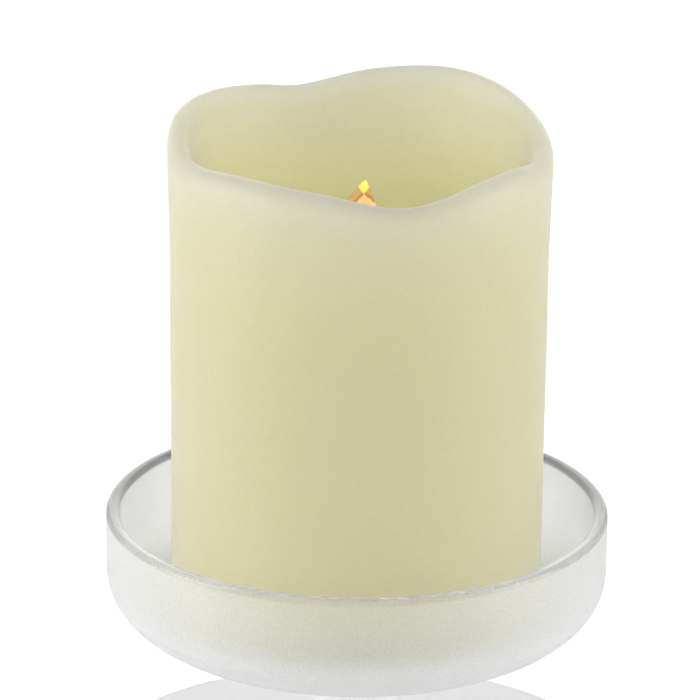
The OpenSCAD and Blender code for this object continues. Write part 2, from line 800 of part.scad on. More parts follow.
module battery_cover() {
    cover_r = cover_d / 2;
    ring_r = cover_r - cover_ring_inset;
    color([0.9, 0.89, 0.85]) in_candle() difference() {
        union() {
            translate([0, 0, cover_lift]) cylinder(h = cover_t, r = cover_r);
            translate([0, 0, cover_lift])
                tube(ring_r - cover_ring_w, ring_r, cover_ring_z - cover_lift);
            for (a = lug_angles) rotate(a) translate([0, 0, lug_z])
                sector(ring_r - cover_ring_w / 2, cover_r + lug_reach, lug_t, lug_spread);
        }
        translate([0, 0, cover_lift - over]) block([coin_slot_l, coin_slot_w, coin_slot_h + over]);
    }
}

glass_dish();
glass_stem();
glass_foot();
wax_pillar();
flame_lens();
lamp();
lamp_leads();
lens_cap();
circuit_board();
flicker_chip();
resistors();
capacitor();
board_screws();
battery_tower();
top_contacts();
battery_springs();
battery_cell_1();
battery_cell_2();
battery_cell_3();
bottom_contacts();
contact_disc();
tower_screws();
base_plate();
switch_body();
switch_pins();
switch_wire();
board_wire();
battery_cover();
switch_knob();
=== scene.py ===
"""Looks of the pedestal dish with its flameless wax pillar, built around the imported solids.

Lengths in the tables are millimetres in the part's own frame, but for the camera's, the lamps'
and the noises' scales, which are in metres or per metre. A colour is linear red, green and blue.
"""

import json
import math

import bpy
from mathutils import Matrix, Vector, noise


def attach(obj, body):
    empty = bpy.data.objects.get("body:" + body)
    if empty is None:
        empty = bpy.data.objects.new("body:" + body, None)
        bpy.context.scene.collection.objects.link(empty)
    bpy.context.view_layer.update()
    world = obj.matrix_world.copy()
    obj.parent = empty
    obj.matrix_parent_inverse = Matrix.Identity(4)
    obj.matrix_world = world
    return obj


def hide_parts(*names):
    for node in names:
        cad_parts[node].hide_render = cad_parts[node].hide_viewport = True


MM = 0.001

# Holder, as in the part's source
DISH_Z = 40.5
DISH_R = 51.4
DISH_H = 25.0
DISH_WALL = 2.8
DISH_FLOOR = 4.0
DISH_CORNER = (14.5, 12.2)
DISH_INNER_CORNER_H = 8.5
DISH_RIM_ROUND = 1.2
DISH_RING_W = 3.7
DISH_RECESS = 0.8
DISH_FLAT_R = 38.6
STEM_Z = 9.0
STEM_H = 32.3
STEM_RADII = (16.0, 8.5, 20.0)
STEM_CURVE = 3
FOOT_R = 60.0
FOOT_EDGE_H = 3.6
FOOT_BOSS = (18.0, 9.0)
FOOT_ROUND = 1.4
FOOT_HOLLOW = (45.0, 1.2)
STEM_WAIST_Z = 24.0
GLASS_JOINT_GAP = 0.05

# Candle, heights above its resting plane
CANDLE_Z = 44.5
WAX_R = 38.1
WAX_TOP = 105.5
WAX_LIFT = 0.6
WAX_BEVEL = 1.0
RIM_WAVE_H = 10.5
RIM_T = 5.2
RIM_R = 38.5
RIM_FLARE_Z = 75.0
RIM_CREST_W = 2.8
RIM_OUTER_ROUND_H = 4.2
RIM_INNER_ROUND_H = 9.0
RIM_WAVE = [(12, 0), (26, 0.09), (40, 0.28), (56, 0.34), (72, 0.24), (90, 0.41), (111, 0.67),
            (130, 0.9), (150, 1), (176, 0.84), (200, 0.56), (216, 0.67), (236, 0.78), (262, 0.75),
            (288, 0.27), (320, 0.35), (348, 0.25)]
CRATER_R = 31.2
CRATER_Z = 70.0
CRATER_FILLET = 6.0
FLAME_HOLE_R = 5.9
CAVITY_Z = 62.0
BORE_R = 15.0
POCKET = (30.0, 8.6)
BASE_RECESS = (33.5, 1.6)
SLOW_DENTS = (0.16, 0.045)
FINE_DENTS = (0.05, 0.16)
FINE_DENTS_PLACE = (7, 3, 1)
DENTED_FROM_R = 20

# Flame, heights above the candle's resting plane
FLAME_D = 11.2
FLAME_TIP_Z = 90.3
FLAME_BODY_H = 20.0
FLAME_LEAN = 1.1
FLAME_LEAN_SHARE = 0.28
FLAME_WIDEST = 0.8
FLAME_ROUNDNESS = 0.9
FLUTE_DEPTH = 0.16
FLUTE_TWIST = 5.0
FLUTE_START = 0.6
FLUTE_SHARPNESS = 0.6
LENS_NECK_R = 5.4
LENS_FLANGE = (6.8, 59.1, 60.3)
LENS_POCKET = (3.1, 67.7)

# Frosted glass, with heights counted from the dish's underside
NOISE_BAND = (0.3, 0.7)
FROST_GRAIN = 2000
FROST_STOPS = [(0.42, (0.88, 0.885, 0.9, 1)), (0.58, (1, 1, 1, 1))]
FROST_CLOUD = (0.975, 0.98, 0.99, 1)
FROST_CLOUD_SCALE = 60
FROST_CLOUD_SHARE = 0.4
FROST_ROUGHNESS = (0.36, 0.6)
FROST_BUMP = (0.3, 0.1)
# Painted shade: the foot is given a greyer colour than the rest of the glass
FOOT_PAINTED_SHADE = 0.89
POLISH_BLEND = 0.3
POLISH_ROUGHNESS = 0.2
# The polished rim's colour is painted shade: light at the front, darker round the sides and back
POLISH_SHADE_FRONT_TONE = 0.85
POLISH_SHADE_SIDE_TONE = 0.16
POLISH_SHADE_BACK_SHARE = 0.5
POLISH_SHADE_TURN = (36, 53)
CLEAR_HEIGHTS = (1, 13)
CLEAR_SHARES = (0.66, 0.94)
MILKY_R = (49, 50.5)
MILKY_HEIGHTS = (10, 5)
MILKY_SHARE = 0.35
MILKY_BLEND = 0.7
SHADOW_SHARE = 0.7

# Wax, its colours from the foot up to the rim, with painted shade in the darker top colour and painted
# light in the crater. A bump has a strength and a depth
WAX_HEIGHTS = (60, 149)
WAX_STOPS_AND_TOP_SHADE = [(0.0, (0.655, 0.63, 0.38, 1)), (0.35, (0.615, 0.593, 0.355, 1)),
             (0.7, (0.61, 0.59, 0.355, 1)), (0.9, (0.585, 0.58, 0.415, 1)),
             (1.0, (0.53, 0.525, 0.37, 1))]
CRATER_EDGE = (33.5, 31.8)
# Painted light: the inside of the crater is given this brighter colour
CRATER_PAINTED_LIGHT = (0.81, 0.81, 0.47, 1)
WAX_CLOUD = (0.64, 0.62, 0.4, 1)
WAX_CLOUD_SCALE = 38
WAX_CLOUD_SHARE = 0.5
WAX_MOTTLE = (0.985, 1.015)
WAX_MOTTLE_SCALE = 900
WAX_ROUGHNESS = (0.42, 0.56)
WAX_ROUGHNESS_SCALE = 240
WAX_SWELLS = (0.35, 0.6)
WAX_SWELLS_SCALE = 45
WAX_PORES = (0.25, 0.08)
WAX_PORES_SCALE = 1200

# Flame and lamp colours, with the heights over the floor where they meet
LOBE_X = 0.8
LOBE_FLOW = 0.2
LOBE_SPAN = (130.5, 134.5)
LOBE_STOPS = [(0.0, (0.97, 0.6, 0.22, 1)), (0.44, (0.96, 0.74, 0.34, 1)),
              (0.54, (0.42, 0.26, 0.06, 1)), (0.68, (0.64, 0.58, 0.26, 1))]
LOBE_GLOW_SPAN = (0.4, 0.54)
LOBE_GLOW = (0.38, 0.1)
TIP_SPAN = (132.1, 132.8)
TIP_COLOUR = (1.0, 0.82, 0.13, 1)
TIP_GLOW = 0.6
LAMP_SPAN = (103, 111.5)
LAMP_STOPS = [(0.0, (0.9, 0.55, 0.12, 1)), (1.0, (1.0, 0.83, 0.4, 1))]
LAMP_CLOUD = (1, 0.8, 0.35, 1)

# Cell jacket, lengths counted from the middle of the cell
CELL_MIDDLE_Z = 29.5
JACKET_HALF = 20.7
JACKET_BAND = 9.0
JACKET_COLOURS = ((0.035, 0.06, 0.1, 1), (0.42, 0.25, 0.1, 1))
JACKET_WEAR = 0.12
JACKET_METAL = 0.55
BARE_STEEL = 0.62

# Camera fitted to the photograph
CAMERA_DISTANCE = 0.7754
CAMERA_ELEVATION = 19.05
CAMERA_ROLL = 0.503
CAMERA_TARGET = (-0.0017, 0.0, 0.09894)
CAMERA_LENS = 197.13
CAMERA_SENSOR = 36

# Floor, room and lamps. The lamps stand round the object in metres, with their size and power
FLOOR_SIZE = 2500
FLOOR_DROP = 0.3
FLOOR_TONE = 0.88
FLOOR_GLOW = 0.31
FLOOR_GLOW_CLEAR = 0.15
FLOOR_GLOW_SEEN = 0.12
WORLD_LEVELS = (0.94, 0.055)
CLEAR_RAYS = ("Is Camera Ray", "Is Glossy Ray", "Is Transmission Ray")
LAMP_AIM = (0, 0, 0.1)
LAMPS = [("lamp_left", (-1.0, -0.2, 0.3), 0.7, 4.25),
         ("lamp_right", (1.0, -0.2, 0.3), 0.7, 3.05),
         ("lamp_back", (0, 1.1, 0.25), 1.0, 2.6),
         ("lamp_front", (0, -1.3, 0.5), 1.2, 3.4)]

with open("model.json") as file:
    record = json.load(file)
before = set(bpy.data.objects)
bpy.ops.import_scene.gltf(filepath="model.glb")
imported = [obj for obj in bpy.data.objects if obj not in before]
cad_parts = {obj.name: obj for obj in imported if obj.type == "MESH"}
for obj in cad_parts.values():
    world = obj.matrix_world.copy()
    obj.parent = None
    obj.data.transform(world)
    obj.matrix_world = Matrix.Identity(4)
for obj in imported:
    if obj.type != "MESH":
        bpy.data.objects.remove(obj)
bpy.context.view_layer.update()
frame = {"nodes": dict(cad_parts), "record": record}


# Shapes

def arc(cx, cy, rx, ry, start, end, steps):
    """Points on an elliptical arc, angles in degrees."""
    turns = [math.radians(start + (end - start) * i / steps) for i in range(steps + 1)]
    return [(cx + rx * math.cos(a), cy + ry * math.sin(a)) for a in turns]


def line(p, q, steps):
    """Points from p up to, but without, q."""
    return [(p[0] + (q[0] - p[0]) * i / steps, p[1] + (q[1] - p[1]) * i / steps) for i in range(steps)]


def add_mesh(name, points, faces, crease=35):
    """A new smooth object from points in millimetres, with edges sharper than crease left hard."""
    mesh = bpy.data.meshes.new(name)
    mesh.from_pydata([Vector(p) * MM for p in points], [], faces)
    mesh.polygons.foreach_set("use_smooth", [True] * len(faces))
    mesh.validate()
    mesh.update()
    mesh.set_sharp_from_angle(angle=math.radians(crease))
    obj = bpy.data.objects.new(name, mesh)
    bpy.context.scene.collection.objects.link(obj)
    return obj


def lathe(name, profile, base_z, sides=256):
    """A solid of revolution. The profile runs from axis to axis, with its outside on the right."""
    inner = profile[1:-1]
    count = len(inner)
    points = [(r * math.sin(a), -r * math.cos(a), z + base_z)
              for a in (2 * math.pi * j / sides for j in range(sides)) for r, z in inner]
    first, last = len(points), len(points) + 1
    points += [(0, 0, profile[0][1] + base_z), (0, 0, profile[-1][1] + base_z)]
    faces = []
    for j in range(sides):
        here, there = j * count, (j + 1) % sides * count
        faces.append((first, there, here))
        faces += [(here + k, there + k, there + k + 1, here + k + 1) for k in range(count - 1)]
        faces.append((here + count - 1, there + count - 1, last))
    return add_mesh(name, points, faces)


def dish_profile():
    corner_w, corner_h = DISH_CORNER
    flat_r = DISH_R - corner_w
    inner_r = DISH_R - DISH_WALL
    rim_z = DISH_H - DISH_RIM_ROUND
    inner_corner_w = inner_r - DISH_FLAT_R
    return ([(0, DISH_RECESS), (flat_r - DISH_RING_W, DISH_RECESS), (flat_r - DISH_RING_W, 0)]
            + arc(flat_r, corner_h, corner_w, corner_h, -90, 0, 40)
            + arc(DISH_R - DISH_RIM_ROUND, rim_z, DISH_RIM_ROUND, DISH_RIM_ROUND, 0, 90, 12)
            + arc(inner_r + DISH_RIM_ROUND, rim_z, DISH_RIM_ROUND, DISH_RIM_ROUND, 90, 180, 12)
            + arc(DISH_FLAT_R, DISH_FLOOR + DISH_INNER_CORNER_H, inner_corner_w,
                  DISH_INNER_CORNER_H, 0, -90, 32)
            + [(0, DISH_FLOOR)])


def stem_profile():
    low, waist, high = STEM_RADII

    def radius(t):
        end = low if t < 0.5 else high
        return waist + (end - waist) * abs(2 * t - 1) ** STEM_CURVE

    top = STEM_H - GLASS_JOINT_GAP
    steps = 80
    return ([(0, GLASS_JOINT_GAP)]
            + [(radius(i / steps), GLASS_JOINT_GAP + (top - GLASS_JOINT_GAP) * i / steps)
               for i in range(steps + 1)]
            + [(0, top)])


def foot_profile():
    hollow_r, hollow_h = FOOT_HOLLOW
    boss_r, boss_h = FOOT_BOSS
    edge_r = FOOT_R - FOOT_ROUND
    hollow = [(hollow_r * i / 24, hollow_h * (1 - (i / 24) ** 2)) for i in range(25)]
    return (hollow
            + arc(edge_r, FOOT_ROUND, FOOT_ROUND, FOOT_ROUND, -90, 0, 10)
            + arc(edge_r, FOOT_EDGE_H - FOOT_ROUND, FOOT_ROUND, FOOT_ROUND, 0, 90, 10)
            + [(boss_r, boss_h), (0, boss_h)])


def wave_point(k):
    turn, i = divmod(k, len(RIM_WAVE))
    return RIM_WAVE[i][0] + 360 * turn, RIM_WAVE[i][1]


def wave_slope(k):
    (a, p), (b, q) = wave_point(k - 1), wave_point(k + 1)
    return (q - p) / (b - a)


def wave(angle):
    """Share of the rim's wave at an angle in degrees from the front towards +X."""
    k = -1
    while angle >= wave_point(k + 1)[0]:
        k += 1
    (a, p), (b, q) = wave_point(k), wave_point(k + 1)
    span, t = b - a, (angle - a) / (b - a)
    return ((1 + 2 * t) * (1 - t) ** 2 * p + t * (1 - t) ** 2 * span * wave_slope(k)
            + t * t * (3 - 2 * t) * q + t * t * (t - 1) * span * wave_slope(k + 1))


def wax_profile(rim_z):
    """Closed outline of the wax on one side of the axis, with its points evenly spread."""
    shoulder, lip = rim_z - RIM_OUTER_ROUND_H, rim_z - RIM_INNER_ROUND_H
    inner_r = RIM_R - RIM_T
    fillet_r, fillet_z = CRATER_R - CRATER_FILLET, CRATER_Z + CRATER_FILLET
    recess_r, recess_z = BASE_RECESS
    pocket_r, pocket_z = POCKET
    crest_r = RIM_R - RIM_CREST_W
    return ([(recess_r, WAX_LIFT), (WAX_R - WAX_BEVEL, WAX_LIFT)]
            + line((WAX_R, WAX_LIFT + WAX_BEVEL), (WAX_R, RIM_FLARE_Z), 34)
            + line((WAX_R, RIM_FLARE_Z), (RIM_R, shoulder), 12)
            + arc(crest_r, shoulder, RIM_CREST_W, RIM_OUTER_ROUND_H, 0, 90, 14)
            + arc(crest_r, lip, RIM_T - RIM_CREST_W, RIM_INNER_ROUND_H, 90, 180, 20)[1:-1]
            + line((inner_r, lip), (CRATER_R, fillet_z), 14)
            + arc(fillet_r, fillet_z, CRATER_FILLET, CRATER_FILLET, 0, -90, 16)
            + line((fillet_r, CRATER_Z), (FLAME_HOLE_R, CRATER_Z), 14)[1:]
            + [(FLAME_HOLE_R, CRATER_Z), (FLAME_HOLE_R, CAVITY_Z), (BORE_R, CAVITY_Z),
               (BORE_R, pocket_z), (pocket_r, pocket_z), (pocket_r, recess_z), (recess_r, recess_z)])


def hand_poured(r, a, z):
    """A point of the wax skin, drawn in a little where real wax shrank while it set."""
    x, y = r * math.sin(a), -r * math.cos(a)
    near_skin = r > DENTED_FROM_R and z > WAX_LIFT + WAX_BEVEL
    if not near_skin:
        return x, y, z + CANDLE_Z
    slow = noise.noise(Vector((x, y, z)) * SLOW_DENTS[1])
    fine = noise.noise(Vector((x, y, z)) * FINE_DENTS[1] + Vector(FINE_DENTS_PLACE))
    dent = SLOW_DENTS[0] * (slow - 1) * 0.5 + FINE_DENTS[0] * (fine - 1) * 0.5
    scale = 1 + dent / r
    return x * scale, y * scale, z + CANDLE_Z


def make_wax(sides=360):
    rings = []
    for j in range(sides):
        rim_z = WAX_TOP - RIM_WAVE_H * (1 - wave(360 * j / sides))
        rings.append([(r, 2 * math.pi * j / sides, z) for r, z in wax_profile(rim_z)])
    count = len(rings[0])
    points = [hand_poured(*p) for ring in rings for p in ring]
    faces = [(j * count + k, (j + 1) % sides * count + k, (j + 1) % sides * count + (k + 1) % count,
              j * count + (k + 1) % count)
             for j in range(sides) for k in range(count)]
    return add_mesh("wax_skin", points, faces, crease=50)


def flame_radius(t):
    """Radius of the flame at a share of its height below the tip."""
    round_part = FLAME_D / 2 * (1 - (1 - min(t / FLAME_WIDEST, 1)) ** 2) ** FLAME_ROUNDNESS
    drawn_in = max(t - FLAME_WIDEST, 0) / (1 - FLAME_WIDEST)
    return round_part - (FLAME_D / 2 - LENS_NECK_R) * drawn_in ** 2


def make_flame(sides=96, levels=64):
    """The moulded flame: four twisted flutes under a pointed tip, on a hollow neck with a flange."""
    flange_r, lens_z, flange_top = LENS_FLANGE
    pocket_r, pocket_top = LENS_POCKET
    rings = [[(r, z, 0)] * sides for r, z in (
        (pocket_r, pocket_top), (pocket_r, lens_z), (flange_r, lens_z), (flange_r, flange_top),
        (LENS_NECK_R, flange_top))]
    for i in range(levels, 0, -1):
        t = (i / levels) ** 1.5
        ring = []
        for k in range(sides):
            turn = 2 * math.pi * k / sides
            flute = abs(math.sin(2 * turn + FLUTE_TWIST * t + FLUTE_START)) ** FLUTE_SHARPNESS
            swell = math.sin(math.pi * min(t / FLAME_WIDEST, 1)) ** 0.5
            depth = FLUTE_DEPTH * swell * (1 - flute)
            ring.append((flame_radius(t) * (1 - depth), FLAME_TIP_Z - FLAME_BODY_H * t,
                         FLAME_LEAN * max(1 - t / FLAME_LEAN_SHARE, 0) ** 1.5))
        rings.append(ring)
    points = [(shift + r * math.cos(2 * math.pi * k / sides), r * math.sin(2 * math.pi * k / sides),
               z + CANDLE_Z)
              for ring in rings for k, (r, z, shift) in enumerate(ring)]
    start, end = len(points), len(points) + 1
    points += [(0, 0, pocket_top + CANDLE_Z), (FLAME_LEAN, 0, FLAME_TIP_Z + CANDLE_Z)]
    faces = [(start, (k + 1) % sides, k) for k in range(sides)]
    for j in range(len(rings) - 1):
        for k in range(sides):
            n = (k + 1) % sides
            faces.append((j * sides + k, j * sides + n, (j + 1) * sides + n, (j + 1) * sides + k))
    top = (len(rings) - 1) * sides
    faces += [(top + k, top + (k + 1) % sides, end) for k in range(sides)]
    return add_mesh("flame_glow", points, faces, crease=60)


# Materials

def grey(value):
    return (value, value, value, 1)


def feed_inputs(tree, node, values):
    """Link or set inputs of a node, given by index, to sockets or plain values."""
    for index, value in values.items():
        if isinstance(value, bpy.types.NodeSocket):
            tree.links.new(value, node.inputs[index])
        else:
            node.inputs[index].default_value = value


def maths(tree, operation, *values):
    node = tree.nodes.new("ShaderNodeMath")
    node.operation = operation
    feed_inputs(tree, node, dict(enumerate(values)))
    return node.outputs[0]


class Finish:
    """A material whose nodes are added in short calls. Coordinates are the object's, in metres."""

    def __init__(self, name, **sockets):
        self.material = bpy.data.materials.new(name)
        self.material.use_nodes = True
        self.tree = self.material.node_tree
        self.shader = self.tree.nodes["Principled BSDF"]
        self.place = self.add("ShaderNodeTexCoord").outputs["Object"]
        for socket, value in sockets.items():
            self.shader.inputs[socket.replace("_", " ")].default_value = value

    def add(self, kind, values=None, links=None, **settings):
        node = self.tree.nodes.new(kind)
        for key, value in settings.items():
            setattr(node, key, value)
        for socket, value in (values or {}).items():
            node.inputs[socket].default_value = value
        for socket, source in (links or {}).items():
            self.tree.links.new(source, node.inputs[socket])
        return node

    def noise(self, scale, detail, stretch=None):
        place = self.place
        if stretch:
            place = self.add("ShaderNodeMapping", {"Scale": stretch}, {"Vector": place}).outputs[0]
        return self.add("ShaderNodeTexNoise", {"Scale": scale, "Detail": detail},
                        {"Vector": place}).outputs["Fac"]

    def ramp(self, factor, stops):
        node = self.add("ShaderNodeValToRGB", links={"Fac": factor})
        ramp = node.color_ramp
        ramp.elements[0].position, ramp.elements[1].position = stops[0][0], stops[-1][0]
        ramp.elements[0].color, ramp.elements[1].color = stops[0][1], stops[-1][1]
        for place, colour in stops[1:-1]:
            ramp.elements.new(place).color = colour
        return node.outputs["Color"]

    def range(self, value, low, high, to_low, to_high):
        return self.add("ShaderNodeMapRange",
                        {"From Min": low, "From Max": high, "To Min": to_low, "To Max": to_high},
                        {"Value": value}).outputs[0]

    def mix(self, factor, a, b, blend="MIX"):
        node = self.add("ShaderNodeMix", data_type="RGBA", blend_type=blend)
        feed_inputs(self.tree, node, {0: factor, 6: a, 7: b})
        return node.outputs[2]

    def along(self, length, low, high, to_low=0, to_high=1):
        """The part of a length from low to high, in millimetres, spread over a range of numbers."""
        return self.range(length, low * MM, high * MM, to_low, to_high)

    def spread(self, noise, low, high):
        """The middle of a noise's values, spread from low to high."""
        return self.range(noise, *NOISE_BAND, low, high)

    def maths(self, operation, *values):
        return maths(self.tree, operation, *values)

    def height(self):
        return self.add("ShaderNodeSeparateXYZ", links={0: self.place}).outputs[2]

    def distance_out(self):
        """Distance from the candle's axis."""
        flat = self.add("ShaderNodeVectorMath", {1: (1, 1, 0)}, {0: self.place}, operation="MULTIPLY")
        return self.add("ShaderNodeVectorMath", links={0: flat.outputs[0]},
                        operation="LENGTH").outputs["Value"]

    def feed(self, socket, source):
        self.tree.links.new(source, self.shader.inputs[socket])

    def let_lamps_through(self, share):
        """Lamps shine through the glass, each surface taking a little of their light."""
        path = self.add("ShaderNodeLightPath")
        clear = self.add("ShaderNodeBsdfTransparent", {"Color": (share, share, share, 1)})
        mix = self.add("ShaderNodeMixShader", links={0: path.outputs["Is Shadow Ray"],
                                                     1: self.shader.outputs[0], 2: clear.outputs[0]})
        self.tree.links.new(mix.outputs[0], self.tree.nodes["Material Output"].inputs["Surface"])

    def bump(self, height, strength, depth, under=None):
        """Relief of a depth in millimetres, over another relief if that is given."""
        links = {"Height": height}
        if under:
            links["Normal"] = under
        return self.add("ShaderNodeBump", {"Strength": strength, "Distance": depth * MM},
                        links).outputs[0]


def polished_rim(finish):
    """1 on the polished rim of the dish, and 0 on all the etched glass."""
    edge = DISH_Z + DISH_H - DISH_RIM_ROUND
    return finish.along(finish.height(), edge - POLISH_BLEND, edge + POLISH_BLEND)


def frost_and_foot_shade(finish, grain):
    """Speckled white, with painted shade making the foot a little greyer."""
    cloud = finish.range(finish.noise(FROST_CLOUD_SCALE, 2), 0, 1, 0, FROST_CLOUD_SHARE)
    frost = finish.mix(cloud, finish.ramp(grain, FROST_STOPS), FROST_CLOUD)
    above_foot_shade = finish.along(finish.height(), FOOT_BOSS[1], STEM_WAIST_Z)
    return finish.mix(above_foot_shade, grey(FOOT_PAINTED_SHADE), frost)


def polish_painted_shade(finish):
    """Painted shade on the polished rim: light at the front, and darker round its sides and back."""
    place = finish.add("ShaderNodeSeparateXYZ", links={0: finish.place})
    back = finish.maths("MULTIPLY", place.outputs[1], POLISH_SHADE_BACK_SHARE)
    shade_turn = finish.maths("ADD", finish.maths("ABSOLUTE", place.outputs[0]), back)
    side = finish.along(shade_turn, *POLISH_SHADE_TURN)
    return finish.mix(side, grey(POLISH_SHADE_FRONT_TONE), grey(POLISH_SHADE_SIDE_TONE))


def clear_share(finish):
    """Share of light that goes on through: less in the corner and where the outside turns away."""
    low, high = (DISH_Z + height for height in CLEAR_HEIGHTS)
    top, bottom = (DISH_Z + height for height in MILKY_HEIGHTS)
    share = finish.along(finish.height(), low, high, *CLEAR_SHARES)
    on_wall = finish.along(finish.distance_out(), *MILKY_R, 0, MILKY_SHARE)
    on_corner = finish.along(finish.height(), top, bottom, 0, MILKY_SHARE)
    turned = finish.add("ShaderNodeLayerWeight", {"Blend": MILKY_BLEND}).outputs["Facing"]
    milky = finish.maths("MULTIPLY", turned, finish.maths("MAXIMUM", on_wall, on_corner))
    return finish.maths("SUBTRACT", share, milky)


def frosted_glass():
    """Glass etched all over but for the polished rim of the dish."""
    finish = Finish("frosted_glass_skin", IOR=1.5)
    rim = polished_rim(finish)
    grain = finish.noise(FROST_GRAIN, 2)
    finish.feed("Base Color", finish.mix(rim, frost_and_foot_shade(finish, grain), polish_painted_shade(finish)))
    rough = finish.spread(grain, *FROST_ROUGHNESS)
    finish.feed("Roughness", finish.mix(rim, rough, grey(POLISH_ROUGHNESS)))
    finish.feed("Transmission Weight", finish.mix(rim, clear_share(finish), grey(1)))
    on_frost = finish.range(rim, 0, 1, 1, 0)
    etched = finish.maths("MULTIPLY", finish.maths("SUBTRACT", grain, 0.5), on_frost)
    finish.feed("Normal", finish.bump(etched, *FROST_BUMP))
    finish.let_lamps_through(SHADOW_SHARE)
    return finish.material


def wax():
    """Soft translucent ivory, paler towards the rim with painted shade darkening its top, and brighter
    and yellower in the crater with painted light.
    """
    finish = Finish("ivory_wax", Subsurface_Weight=1.0, Subsurface_Scale=0.03,
                    Subsurface_Radius=(1.0, 0.97, 0.85), IOR=1.44, Sheen_Weight=0.28,
                    Sheen_Roughness=0.5)
    # The ramp's darkest stop, at the rim's top, is painted shade
    body = finish.ramp(finish.along(finish.height(), *WAX_HEIGHTS), WAX_STOPS_AND_TOP_SHADE)
    crater = finish.along(finish.distance_out(), *CRATER_EDGE)
    body = finish.mix(crater, body, CRATER_PAINTED_LIGHT)
    cloud = finish.range(finish.noise(WAX_CLOUD_SCALE, 3), 0, 1, 0, WAX_CLOUD_SHARE)
    mottle = finish.spread(finish.noise(WAX_MOTTLE_SCALE, 4), *WAX_MOTTLE)
    clouded = finish.mix(cloud, body, WAX_CLOUD)
    finish.feed("Base Color", finish.mix(1.0, clouded, mottle, "MULTIPLY"))
    finish.feed("Roughness", finish.spread(finish.noise(WAX_ROUGHNESS_SCALE, 4), *WAX_ROUGHNESS))
    swells = finish.bump(finish.noise(WAX_SWELLS_SCALE, 2), *WAX_SWELLS)
    finish.feed("Normal", finish.bump(finish.noise(WAX_PORES_SCALE, 4), *WAX_PORES, swells))
    return finish.material


def flame():
    """A yellow tip over a creamy lobe, with a brown line between them and clear ridges beside it."""
    finish = Finish("flame_resin", Roughness=0.25, IOR=1.49, Transmission_Weight=0.3)
    place = finish.add("ShaderNodeSeparateXYZ", links={0: finish.place})
    side = finish.maths("ABSOLUTE", finish.maths("SUBTRACT", place.outputs[0], LOBE_X * MM))
    flow = finish.spread(finish.noise(500, 2), -LOBE_FLOW * MM, LOBE_FLOW * MM)
    lobe_top = finish.maths("ADD", finish.maths("ADD", side, finish.height()), flow)
    lobe = finish.along(lobe_top, *LOBE_SPAN)
    tip = finish.along(finish.maths("SUBTRACT", finish.height(), side), *TIP_SPAN)
    colour = finish.mix(tip, finish.ramp(lobe, LOBE_STOPS), TIP_COLOUR)
    finish.feed("Base Color", colour)
    finish.feed("Emission Color", colour)
    inner = finish.range(lobe, *LOBE_GLOW_SPAN, *LOBE_GLOW)
    finish.feed("Emission Strength", finish.mix(tip, inner, grey(TIP_GLOW)))
    return finish.material


def lamp_resin():
    """Clear amber resin that glows, paler towards its domed end."""
    finish = Finish("lamp_resin_skin", Roughness=0.15, IOR=1.5, Transmission_Weight=0.4,
                    Emission_Strength=2.0)
    colour = finish.ramp(finish.along(finish.height(), *LAMP_SPAN), LAMP_STOPS)
    finish.feed("Base Color", finish.mix(finish.noise(500, 2), colour, LAMP_CLOUD))
    finish.feed("Emission Color", colour)
    return finish.material


def moulded(name, dark, light, roughness, grain=2200, **sockets):
    """Moulded plastic or resin: a faint cloud in its colour and the fine grain of its mould."""
    finish = Finish(name, **sockets)
    finish.feed("Base Color", finish.mix(finish.noise(130, 3), dark, light))
    texture = finish.noise(grain, 3)
    finish.feed("Roughness", finish.spread(texture, roughness - 0.06, roughness + 0.08))
    finish.feed("Normal", finish.bump(texture, 0.3, 0.04))
    return finish.material


def metal(name, dark, light, roughness, stretch):
    """Sheet or wire metal with drawn lines along it and a little tarnish."""
    finish = Finish(name, Metallic=1.0)
    lines = finish.noise(900, 3, stretch=stretch)
    finish.feed("Base Color", finish.mix(finish.noise(240, 4), dark, light))
    finish.feed("Roughness", finish.spread(lines, roughness - 0.08, roughness + 0.12))
    finish.feed("Normal", finish.bump(lines, 0.2, 0.03))
    return finish.material


def board_green():
    """Green lacquer over woven glass cloth."""
    finish = Finish("board_lacquer", Coat_Weight=0.5, Coat_Roughness=0.15)
    warp = finish.noise(1500, 1, stretch=(1, 0.05, 1))
    weft = finish.noise(1500, 1, stretch=(0.05, 1, 1))
    weave = finish.maths("MULTIPLY", warp, weft)
    finish.feed("Base Color", finish.ramp(weave, [(0.15, (0.01, 0.09, 0.03, 1)),
                                                  (0.4, (0.03, 0.2, 0.07, 1))]))
    finish.feed("Roughness", finish.range(weave, 0.1, 0.45, 0.3, 0.42))
    finish.feed("Normal", finish.bump(weave, 0.2, 0.04))
    return finish.material


def cell_jacket():
    """Printed steel jacket, bare at both ends, with a lighter band round its upper third."""
    finish = Finish("cell_jacket_print", Coat_Weight=0.3, Coat_Roughness=0.2)
    middle = (CANDLE_Z + CELL_MIDDLE_Z) * MM
    off = finish.maths("ABSOLUTE", finish.maths("SUBTRACT", finish.height(), middle))
    bare = finish.maths("GREATER_THAN", off, JACKET_HALF * MM)
    band = finish.maths("GREATER_THAN", finish.height(), middle + JACKET_BAND * MM)
    worn = finish.mix(finish.noise(300, 3), finish.mix(band, *JACKET_COLOURS), grey(JACKET_WEAR))
    finish.feed("Base Color", finish.mix(bare, worn, grey(BARE_STEEL)))
    finish.feed("Metallic", finish.range(bare, 0, 1, JACKET_METAL, 1))
    finish.feed("Roughness", finish.spread(finish.noise(600, 3), 0.24, 0.4))
    return finish.material


